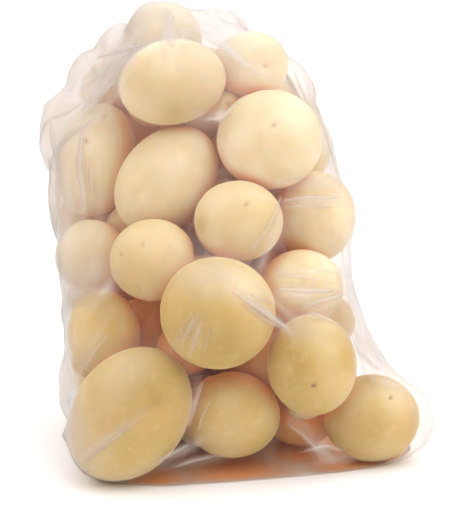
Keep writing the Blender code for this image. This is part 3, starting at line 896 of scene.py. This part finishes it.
def add_crease(film, milk_and_highlight_layer, route, width, height, lean):
    """A narrow pinched fold that stands on the film and leans over to one side."""
    if len(route) < SHORTEST_CREASE:
        return
    places = np.array([place for place, _ in route])
    ways = np.array([way for _, way in route])
    for _ in range(CREASE_SMOOTHINGS):
        places[1:-1] = (places[:-2] + 2 * places[1:-1] + places[2:]) / 4
        ways[1:-1] = (ways[:-2] + 2 * ways[1:-1] + ways[2:]) / 4
    ways = unit(ways)
    ahead = unit(np.gradient(places, axis=0))
    aside = unit(np.cross(ahead, ways))
    taper = np.sin(np.linspace(CREASE_TIP, 1 - CREASE_TIP, len(route)) * math.pi) ** CREASE_FULLNESS
    rows = []
    for place, way, side, size in zip(places, ways, aside, taper):
        row = []
        for across in np.linspace(-1, 1, CREASE_COLUMNS):
            rise = math.exp(-(across / CREASE_CREST) ** 2) - CREASE_SINK
            shift = across * width / 2 + lean * height * rise
            point = film.verts.new(place + side * shift * size + way * rise * height * size)
            # painted highlight along the crest
            point[milk_and_highlight_layer] = max(rise, 0) * size * CREASE_HIGHLIGHT * height / MM
            row.append(point)
        rows.append(row)
    for lower, upper in zip(rows, rows[1:]):
        for column in range(CREASE_COLUMNS - 1):
            film.faces.new((lower[column], lower[column + 1], upper[column + 1], upper[column]))


def front_rays(way):
    """Rays from the camera through points of the view."""
    return [(EYE, view_way(right, up)) for right, up in way]


def side_rays(way):
    """Rays towards the bag's upright axis from outside, at azimuths and heights."""
    rays = []
    for azimuth, height in way:
        out = np.array([math.sin(azimuth), -math.cos(azimuth), 0])
        rays.append((np.array([0, 0, height]) + out, -out))
    return rays


def milkiness(right, up, rows):
    """The sum of soft long patches at points measured in mm in some flat view."""
    total = np.zeros_like(right)
    for middle_right, middle_up, length, width, slant, strength in rows:
        cos, sin = math.cos(math.radians(slant)), math.sin(math.radians(slant))
        along = (right - middle_right) * cos + (up - middle_up) * sin
        across = (up - middle_up) * cos - (right - middle_right) * sin
        total += strength * np.exp(-(along * 2 / length) ** 2 - (across * 2 / width) ** 2)
    return total


def film_milk(points, normals, rng):
    """How milky the film is at its points, painted highlights included: in front as the view shows it,
    elsewhere at random.
    """
    from_eye = points - EYE
    scale = VIEW_DISTANCE / (from_eye @ INWARD) / MM
    front = milkiness(from_eye @ RIGHT * scale, from_eye @ UPWARD * scale, FRONT_MILK_AND_HIGHLIGHTS)
    rows = []
    for _ in range(SIDE_MILK):
        place = rng.uniform(*SIDE_AZIMUTHS) * GIRTH_RADIUS / MM, rng.uniform(*SIDE_HEIGHTS) / MM
        size = rng.uniform(*SIDE_MILK_LENGTHS), rng.uniform(*SIDE_MILK_WIDTHS)
        rows.append((*place, *size, rng.uniform(*SIDE_MILK_SLANTS), rng.uniform(*SIDE_MILK_STRENGTHS)))
    azimuth = np.arctan2(points[:, 0], -points[:, 1]) % (2 * math.pi)
    side = milkiness(azimuth * GIRTH_RADIUS / MM, points[:, 2] / MM, rows)
    facing = np.clip(normals @ -INWARD * FRONT_SHARPNESS + 0.5, 0, 1)
    return front * facing + side * (1 - facing)


def clear_film():
    """Thin clear film, a mirror with a haze that shows where it slants away, grained to stay soft. Its haze
    has painted shade where the film slants away, painted highlights on folds and a painted shadow in the
    base.
    """
    made, tree = new_material("clear film")
    place = tree.node("TexCoord", output=3)
    slant = tree.node("LayerWeight", {}, {"Blend": 0.5}, 1)
    milk_and_highlight, base_shade = (tree.node("Attribute", {"attribute_name": name}, output=2) for name in ("milk_and_highlight", "base_shade"))
    cloud = tree.node("TexNoise", {}, {"Vector": place, "Scale": 26.0, "Detail": 2.0})
    crinkle = tree.node("TexNoise", {}, {"Vector": place, "Scale": 120.0, "Detail": 3.0, "Distortion": 0.6})
    mirror = 0.016 + slant ** 4.0 * 0.45
    haze = slant ** 4.0 * 0.55 + milk_and_highlight + cloud.within(0.5, 0.7) * 0.01
    grain_place = tree.node("VectorMath", {"operation": "SCALE"}, {0: place, "Scale": 30000.0})
    grain = tree.node("TexWhiteNoise", {}, {"Vector": grain_place})
    # The painted base shadow covers the clear film too.
    haze = tree.math("MINIMUM", haze + base_shade * 0.9, 0.95) * (0.5 + grain)
    relief = tree.node("Bump", {}, {"Strength": 0.35, "Distance": 0.0006, "Height": crinkle})
    clear = tree.node("BsdfTransparent", {}, {"Color": CLEAR_TINT})
    face, edge, base_shade_shader = (
        tree.node("BsdfDiffuse", {}, {"Color": colour}) for colour in (MILK_FACE, MILK_EDGE_SHADE, BASE_SHADE_TINT)
    )
    through = tree.node("BsdfTranslucent", {}, {"Color": MILK_THROUGH})
    # Painted shade: the haze darkens where the film slants away.
    milky = tree.node("MixShader", {}, {0: slant ** 2.0, 1: face, 2: edge})
    milky = tree.node("MixShader", {}, {0: 0.35, 1: milky, 2: through})
    # Painted shadow: warm brown in the base next to the potatoes.
    milky = tree.node("MixShader", {}, {0: base_shade, 1: milky, 2: base_shade_shader})
    body = tree.node("MixShader", {}, {0: haze, 1: clear, 2: milky})
    gloss = tree.node("BsdfGlossy", {}, {"Color": SHINE, "Roughness": 0.16, "Normal": relief})
    both = tree.node("MixShader", {}, {0: mirror, 1: body, 2: gloss})
    tree.node("OutputMaterial", {}, {"Surface": both})
    return made


angles = np.arange(COLUMNS) * 2 * math.pi / COLUMNS
air_rows = [seen(*row) for row in AIR.values()]
bodies = stacked(film_rows + air_rows)
plain = [None] * len(bodies[0])
wall = drawn_in(slack_wall(angles), bodies, plain, FILM_CLEARANCE, DRAW_ROUNDS, SUCTION)
wall = finer(wall)
angles = np.arange(COLUMNS * FINER) * 2 * math.pi / (COLUMNS * FINER)
wall[0] = base_outline(angles)
wall[-1] = neck_outline(angles, -NECK_LENGTH / 2)
forms = potato_lumps + [None] * len(air_rows)
wall = drawn_in(wall, bodies, forms, FINE_CLEARANCE, FINE_ROUNDS, SUCTION / FINER ** 2)

potato_bodies = stacked(potato_rows)
free = free_depth(wall.reshape(-1, 3), potato_bodies, potato_lumps).reshape(wall.shape[:2])
slack = np.clip((free - CLING_DEPTH) / FREE_DEPTH, 0, 1)
slack[[0, -1]] = 0
slack *= np.clip(np.arange(len(wall)) / LEVEL_RINGS, 0, 1)[:, None]
ridges = slack * unevenness(wall, CRINKLE_WIDTH, CRINKLE_LENGTH)
wall = pleated(wall, angles, free) + outward_of(wall) * (CRINKLE_HEIGHT * ridges)[..., None]
neck = [neck_outline(angles, along) for along in np.linspace(-0.5, 0.5, NECK_STEPS + 1)[1:] * NECK_LENGTH]
base_shares = np.linspace(BASE_SEAL, 1, BASE_RINGS)[:-1]
base = [BASE_MIDDLE + (wall[0] - BASE_MIDDLE) * share for share in base_shares]
outlines = [*base, *wall, *neck, *tail_outlines(angles)]

film = bmesh.new()
milk_and_highlight_layer = film.verts.layers.float.new("milk_and_highlight")
rings = [[film.verts.new(point) for point in outline] for outline in outlines]
for ring, row in zip(rings[len(base):], ridges):
    for point, ridge in zip(ring, row):
        point[milk_and_highlight_layer] = max(ridge, 0) * CRINKLE_MILK
for lower, upper in zip(rings, rings[1:]):
    for column in range(len(angles)):
        after = (column + 1) % len(angles)
        film.faces.new((lower[column], lower[after], upper[after], upper[column]))
film.faces.new(reversed(rings[0]))
film.normal_update()
film_tree = BVHTree.FromBMesh(film)
for way, width, height, lean in FRONT_CREASES:
    add_crease(film, milk_and_highlight_layer, crease_route(front_rays(way), film_tree), width * MM, height * MM, lean)
crease_rng = np.random.default_rng(CREASE_SEED)
for _ in range(SIDE_CREASES):
    azimuth = crease_rng.uniform(*SIDE_AZIMUTHS)
    height = crease_rng.uniform(*SIDE_HEIGHTS)
    turn, rise = crease_rng.uniform(*CREASE_TURNS), crease_rng.uniform(*CREASE_RISES)
    way = [(azimuth - turn, height - rise), (azimuth, height), (azimuth + turn * CREASE_BEND, height + rise)]
    route = crease_route(side_rays(way), film_tree)
    width, tall = crease_rng.uniform(*CREASE_WIDTHS), crease_rng.uniform(*CREASE_HEIGHTS)
    add_crease(film, milk_and_highlight_layer, route, width, tall, crease_rng.uniform(*CREASE_LEANS))
film_mesh = bpy.data.meshes.new("film")
film.to_mesh(film_mesh)
film.free()
film_mesh.shade_smooth()
for face in film_mesh.polygons:
    face.use_smooth = face.center.z > BASE_FLATNESS
points = np.empty(len(film_mesh.vertices) * 3)
normals = np.empty_like(points)
milk_and_highlight = np.empty(len(film_mesh.vertices))
film_mesh.vertices.foreach_get("co", points)
film_mesh.vertices.foreach_get("normal", normals)
film_mesh.attributes["milk_and_highlight"].data.foreach_get("value", milk_and_highlight)
points, normals = points.reshape(-1, 3), normals.reshape(-1, 3)
gathered = np.clip(1 - np.linalg.norm(points - NECK, axis=1) / GATHER_REACH, 0, 1) ** GATHER_FADE
# The film's milky haze, with its painted highlights.
milk_and_highlight = np.clip(milk_and_highlight + gathered * GATHER_MILK + film_milk(points, normals, crease_rng), 0, HIGHEST_MILK)
film_mesh.attributes["milk_and_highlight"].data.foreach_set("value", milk_and_highlight)
# A painted warm shadow in the base: darkest next to the potatoes, thinning out upwards, towards the back and
# at the rim.
base_shade = 1 - free_depth(points, potato_bodies, potato_lumps) / BASE_SHADE_REACH
base_shade = np.clip(base_shade * BASE_SHADE_PLENTY, 0, 1)
base_shade *= np.clip(1 - points[:, 2] / BASE_SHADE_HEIGHT, 0, 1)
base_place = np.abs((points - BASE_MIDDLE)[:, :2] / (BASE_HALF_WIDTH, BASE_HALF_DEPTH))
rim_share = (base_place ** BASE_SQUARENESS).sum(axis=1) ** (1 / BASE_SQUARENESS)
base_shade *= np.clip((1 - rim_share) / BASE_SHADE_RIM, 0, 1) * np.interp(points[:, 1], *BASE_SHADE_FROM_FRONT)
film_mesh.attributes.new("base_shade", "FLOAT", "POINT").data.foreach_set("value", base_shade)
add_piece("film", film_mesh, clear_film())

# ---- The tie ---------------------------------------------------------------------------------
# A flat wire in white plastic, bent once round the neck, its two ends twisted together by hand.
# It keeps its solid and takes the plastic's satin finish.
TIE_SHADES = (0.86, 0.86, 0.84, 1), (0.93, 0.93, 0.92, 1)


def tie_plastic():
    """White plastic over wire: satin, a little uneven."""
    made, tree = new_material("tie plastic")
    place = tree.node("TexCoord", output=3)
    cloud = tree.node("TexNoise", {}, {"Vector": place, "Scale": 400.0, "Detail": 2.0})
    shader = tree.node("BsdfPrincipled", {}, {
        "Base Color": tree.mixed(cloud, *TIE_SHADES),
        "Roughness": 0.35 + cloud * 0.2,
    })
    tree.node("OutputMaterial", {}, {"Surface": shader})
    return made


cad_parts["tie"].data.materials.clear()
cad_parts["tie"].data.materials.append(tie_plastic())

# ---- The floor and the light -----------------------------------------------------------------
# A white card under the bag, and one large soft light above, to the right and a little in front.
# The room round it looks white, but its walls light the bag warmly, its ceiling brightly.
FLOOR_HALF = 12.0
FLOOR_DROP = 0.5 * MM  # so that it doesn't lie in the film's base
FLOOR_SHADES = (0.84, 0.84, 0.84, 1), (0.85, 0.85, 0.85, 1)
WALL_LIGHT = (0.80, 0.535, 0.325, 1)
CEILING_LIGHT = (2.02, 2.05, 2.12, 1)
CEILING_STARTS, CEILING_FULL = 0.2, 0.9  # heights on a sphere of radius 1
BACKDROP = (0.97, 0.97, 0.97, 1)
LAMP_PLACE = (0.5, -0.3, 0.93)
LAMP_AIM = (0, 0, 0.12)
LAMP_SIZE = 1.3
LAMP_POWER = 3.5


def white_floor():
    """Seamless white card."""
    made, tree = new_material("white floor")
    place = tree.node("TexCoord", output=3)
    cloud = tree.node("TexNoise", {}, {"Vector": place, "Scale": 3.0})
    shader = tree.node("BsdfPrincipled", {}, {
        "Base Color": tree.mixed(cloud, *FLOOR_SHADES),
        "Roughness": 0.9,
        "Specular IOR Level": 0.1,
    })
    tree.node("OutputMaterial", {}, {"Surface": shader})
    return made


floor_mesh = bpy.data.meshes.new("floor")
corners = [(x * FLOOR_HALF, y * FLOOR_HALF, -FLOOR_DROP) for x, y in ((-1, -1), (1, -1), (1, 1), (-1, 1))]
floor_mesh.from_pydata(corners, [], [(0, 1, 2, 3)])
floor_mesh.materials.append(white_floor())
floor = add_object("floor", floor_mesh)

world = bpy.data.worlds.new("white room")
world.use_nodes = True
world.node_tree.nodes.clear()
room = Shade(world.node_tree)
height = room.node("SeparateXYZ", {}, {"Vector": room.node("TexCoord")}, 2)
colour = room.mixed(height.within(CEILING_STARTS, CEILING_FULL), WALL_LIGHT, CEILING_LIGHT)
colour = room.mixed(room.node("LightPath"), colour, BACKDROP)
room.node("OutputWorld", {}, {"Surface": room.node("Background", {}, {"Color": colour})})
bpy.context.scene.world = world

top_light = bpy.data.lights.new("top light", "AREA")
top_light.shape = "DISK"
top_light.size = LAMP_SIZE
top_light.energy = LAMP_POWER
lamp = add_object("top light", top_light)
lamp.location = LAMP_PLACE
aim = Vector(LAMP_AIM) - lamp.location
lamp.rotation_euler = aim.to_track_quat("-Z", "Y").to_euler()

bpy.context.scene.view_settings.view_transform = "Standard"
bpy.context.scene.view_settings.look = "None"
